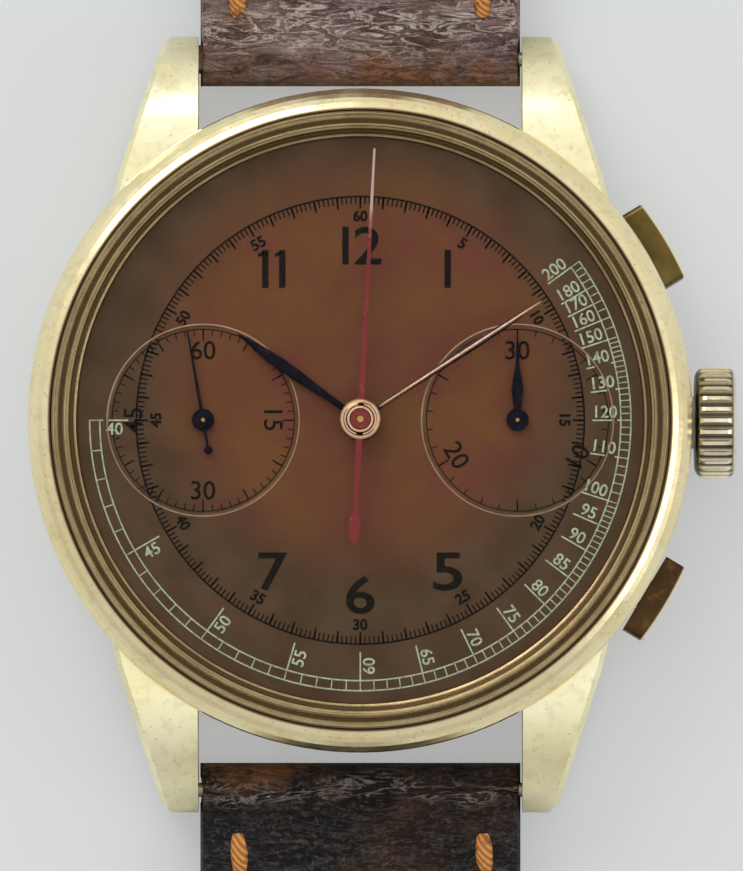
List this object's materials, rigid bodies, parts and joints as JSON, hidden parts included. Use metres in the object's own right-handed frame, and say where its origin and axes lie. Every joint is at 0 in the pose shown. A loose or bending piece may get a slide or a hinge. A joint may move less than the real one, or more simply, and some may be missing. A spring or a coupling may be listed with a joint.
{
  "type": "chronograph wristwatch",
  "caption": "Hand-wound wrist chronograph with two registers, two rectangular pushers, fluted crown, domed crystal and leather strap with pin buckle.",
  "frame": {"origin": "centre of the case back's outer flat face", "axes": "+Z out of the dial, +Y towards 12 o'clock and the buckle, +X towards the crown"},
  "size_m": [0.0393, 0.2356, 0.0118],
  "materials": {
    "gilt_case": "polished, worn gold plate",
    "steel": "brushed",
    "brass": "fine grained",
    "crystal": "clear acrylic",
    "copper_dial": "satin copper brown",
    "blued_steel": "polished blued",
    "red_hand": "satin red",
    "nickel_plate": "fine striped",
    "ruby": "polished",
    "leather": "aged, creased"
  },
  "bodies": {
    "case": {"case_band": "gilt_case", "bezel": "gilt_case", "crystal": "crystal", "tension_ring": "gilt_case", "case_back": "steel", "movement_ring": "brass", "case_tubes": "steel", "spring_bars": "steel", "dial": "copper_dial", "main_plate": "nickel_plate", "barrel_bridge": "nickel_plate", "train_bridge": "nickel_plate", "balance_cock": "nickel_plate", "pallet_bridge": "nickel_plate", "chronograph_bridge": "nickel_plate", "jewels": "ruby", "bridge_screws": "blued_steel", "hairspring": "blued_steel", "pusher_spring_start": "steel", "pusher_spring_reset": "steel"},
    "strap_top": {"strap_buckle_half": "leather", "fixed_keeper": "leather", "buckle_bar": "steel"},
    "strap_bottom": {"strap_hole_half": "leather"},
    "keeper": {"free_keeper": "leather"},
    "buckle": {"buckle_frame": "gilt_case"},
    "tongue": {"buckle_tongue": "gilt_case"},
    "keyless": {"winding_pinion": "steel", "sliding_pinion": "steel"},
    "crown_and_stem": {"crown": "gilt_case", "winding_stem": "steel"},
    "crown_wheel": {"crown_wheel": "steel"},
    "transfer_wheel": {"transfer_wheel": "steel"},
    "ratchet": {"ratchet_wheel": "steel"},
    "click": {"click": "steel"},
    "fourth": {"fourth_wheel": "brass", "small_seconds_hand": "blued_steel"},
    "third": {"third_wheel": "brass"},
    "centre": {"centre_wheel": "brass", "cannon_pinion": "steel", "minute_hand": "blued_steel"},
    "barrel": {"barrel": "brass", "mainspring": "steel"},
    "escape": {"escape_wheel": "steel"},
    "minute_wheel": {"minute_wheel": "brass"},
    "hour": {"hour_wheel": "brass", "hour_hand": "blued_steel"},
    "balance": {"balance_wheel": "brass"},
    "pallet": {"pallet_fork": "steel"},
    "runner": {"chronograph_runner": "brass", "chronograph_hand": "red_hand"},
    "minute_runner": {"minute_runner": "brass", "register_hand": "blued_steel"},
    "start_button": {"pusher_start": "gilt_case"},
    "reset_button": {"pusher_reset": "gilt_case"},
    "operating_lever": {"operating_lever": "steel"},
    "hammer": {"hammer": "steel"},
    "column_wheel": {"column_wheel": "steel"},
    "coupling_lever": {"coupling_lever": "steel"},
    "coupling_wheel": {"coupling_wheel": "brass"}
  },
  "joints": [
    {"name": "strap_top_fold", "type": "hinge", "parent": "case", "child": "strap_top", "pos_m": [0, 0.02035, 0.0025], "axis": [1, 0, 0], "range_deg": [-80, 50]},
    {"name": "strap_bottom_fold", "type": "hinge", "parent": "case", "child": "strap_bottom", "pos_m": [0, -0.02035, 0.0025], "axis": [-1, 0, 0], "range_deg": [-80, 50]},
    {"name": "keeper_slide", "type": "slide", "parent": "strap_top", "child": "keeper", "axis": [0, 1, 0], "range_m": [-0.005, 0.007]},
    {"name": "buckle_fold", "type": "hinge", "parent": "strap_top", "child": "buckle", "pos_m": [0, 0.094, 0.0022], "axis": [1, 0, 0], "range_deg": [-60, 45]},
    {"name": "tongue_lift", "type": "hinge", "parent": "buckle", "child": "tongue", "pos_m": [0, 0.094, 0.0022], "axis": [1, 0, 0], "range_deg": [0, 45]},
    {"name": "crown_turn", "type": "hinge", "parent": "case", "child": "keyless", "pos_m": [0, 0, 0.0043], "axis": [1, 0, 0], "continuous": true},
    {"name": "crown_pull", "type": "slide", "parent": "keyless", "child": "crown_and_stem", "axis": [1, 0, 0], "range_m": [0, 0.0009]},
    {"name": "crown_wheel_turn", "type": "hinge", "parent": "case", "child": "crown_wheel", "pos_m": [0.0114, 0, 0], "axis": [0, 0, 1], "continuous": true},
    {"name": "transfer_wheel_turn", "type": "hinge", "parent": "case", "child": "transfer_wheel", "pos_m": [0.0109, 0.00346, 0], "axis": [0, 0, 1], "continuous": true},
    {"name": "ratchet_turn", "type": "hinge", "parent": "case", "child": "ratchet", "pos_m": [0.00436, 0.00436, 0], "axis": [0, 0, 1], "continuous": true},
    {"name": "click_lift", "type": "hinge", "parent": "case", "child": "click", "pos_m": [0.00112, 0.01045, 0], "axis": [0, 0, 1], "range_deg": [0, 8]},
    {"name": "seconds_turn", "type": "hinge", "parent": "case", "child": "fourth", "pos_m": [-0.0087, 0, 0], "axis": [0, 0, -1], "continuous": true},
    {"name": "third_wheel_turn", "type": "hinge", "parent": "case", "child": "third", "pos_m": [-0.00472, 0.00149, 0], "axis": [0, 0, -1], "continuous": true},
    {"name": "minute_turn", "type": "hinge", "parent": "case", "child": "centre", "pos_m": [0, 0, 0], "axis": [0, 0, -1], "continuous": true},
    {"name": "hour_turn", "type": "hinge", "parent": "case", "child": "hour", "pos_m": [0, 0, 0], "axis": [0, 0, -1], "continuous": true},
    {"name": "minute_wheel_turn", "type": "hinge", "parent": "case", "child": "minute_wheel", "pos_m": [0.00132, -0.00229, 0], "axis": [0, 0, -1], "continuous": true},
    {"name": "barrel_turn", "type": "hinge", "parent": "case", "child": "barrel", "pos_m": [0.00436, 0.00436, 0], "axis": [0, 0, -1], "continuous": true},
    {"name": "escape_wheel_turn", "type": "hinge", "parent": "case", "child": "escape", "pos_m": [-0.00722, -0.00367, 0], "axis": [0, 0, -1], "continuous": true},
    {"name": "balance_swing", "type": "hinge", "parent": "case", "child": "balance", "pos_m": [-0.00367, -0.00734, 0], "axis": [0, 0, -1], "range_deg": [-270, 270], "stiffness_Nm_per_rad": 0.00000014},
    {"name": "pallet_rock", "type": "hinge", "parent": "case", "child": "pallet", "pos_m": [-0.00558, -0.00536, 0], "axis": [0, 0, -1], "range_deg": [-5, 5]},
    {"name": "chronograph_turn", "type": "hinge", "parent": "case", "child": "runner", "pos_m": [0, 0, 0], "axis": [0, 0, -1], "continuous": true},
    {"name": "register_turn", "type": "hinge", "parent": "case", "child": "minute_runner", "pos_m": [0.0087, 0, 0], "axis": [0, 0, -1], "continuous": true},
    {"name": "start_press", "type": "slide", "parent": "case", "child": "start_button", "axis": [-0.8572, -0.515, 0], "range_m": [0, 0.0005], "stiffness_N_per_m": 2000, "springref_m": -0.0005, "deforming": ["pusher_spring_start"]},
    {"name": "reset_press", "type": "slide", "parent": "case", "child": "reset_button", "axis": [-0.8572, 0.515, 0], "range_m": [0, 0.0005], "stiffness_N_per_m": 2000, "springref_m": -0.0005, "deforming": ["pusher_spring_reset"]},
    {"name": "operating_lever_turn", "type": "hinge", "parent": "case", "child": "operating_lever", "pos_m": [0.00043, 0.01229, 0], "axis": [0, 0, -1], "range_deg": [0, 2.8]},
    {"name": "hammer_turn", "type": "hinge", "parent": "case", "child": "hammer", "pos_m": [0.00702, -0.00753, 0], "axis": [0, 0, 1], "range_deg": [0, 2.8]},
    {"name": "column_wheel_turn", "type": "hinge", "parent": "case", "child": "column_wheel", "pos_m": [0.00647, 0.01035, 0], "axis": [0, 0, 1], "continuous": true},
    {"name": "coupling_lever_turn", "type": "hinge", "parent": "case", "child": "coupling_lever", "pos_m": [-0.0087, 0, 0], "axis": [0, 0, -1], "range_deg": [0, 5]},
    {"name": "coupling_wheel_turn", "type": "hinge", "parent": "coupling_lever", "child": "coupling_wheel", "pos_m": [-0.0045, 0.00187, 0], "axis": [0, 0, -1], "continuous": true}
  ],
  "couplings": [
    {"joint": "crown_wheel_turn", "follows": "crown_turn", "ratio": 0.78947},
    {"joint": "transfer_wheel_turn", "follows": "crown_turn", "ratio": -0.9375},
    {"joint": "ratchet_turn", "follows": "crown_turn", "ratio": 0.3},
    {"joint": "third_wheel_turn", "follows": "seconds_turn", "ratio": -0.13333},
    {"joint": "minute_turn", "follows": "seconds_turn", "ratio": 0.016667},
    {"joint": "hour_turn", "follows": "seconds_turn", "ratio": 0.0013889},
    {"joint": "minute_wheel_turn", "follows": "seconds_turn", "ratio": -0.0055556},
    {"joint": "barrel_turn", "follows": "seconds_turn", "ratio": -0.0026316},
    {"joint": "escape_wheel_turn", "follows": "seconds_turn", "ratio": -10},
    {"joint": "coupling_wheel_turn", "follows": "seconds_turn", "ratio": -3.6},
    {"joint": "register_turn", "follows": "chronograph_turn", "ratio": 0.033333},
    {"joint": "operating_lever_turn", "follows": "start_press", "rad_per_m": 66},
    {"joint": "hammer_turn", "follows": "reset_press", "rad_per_m": 66}
  ]
}
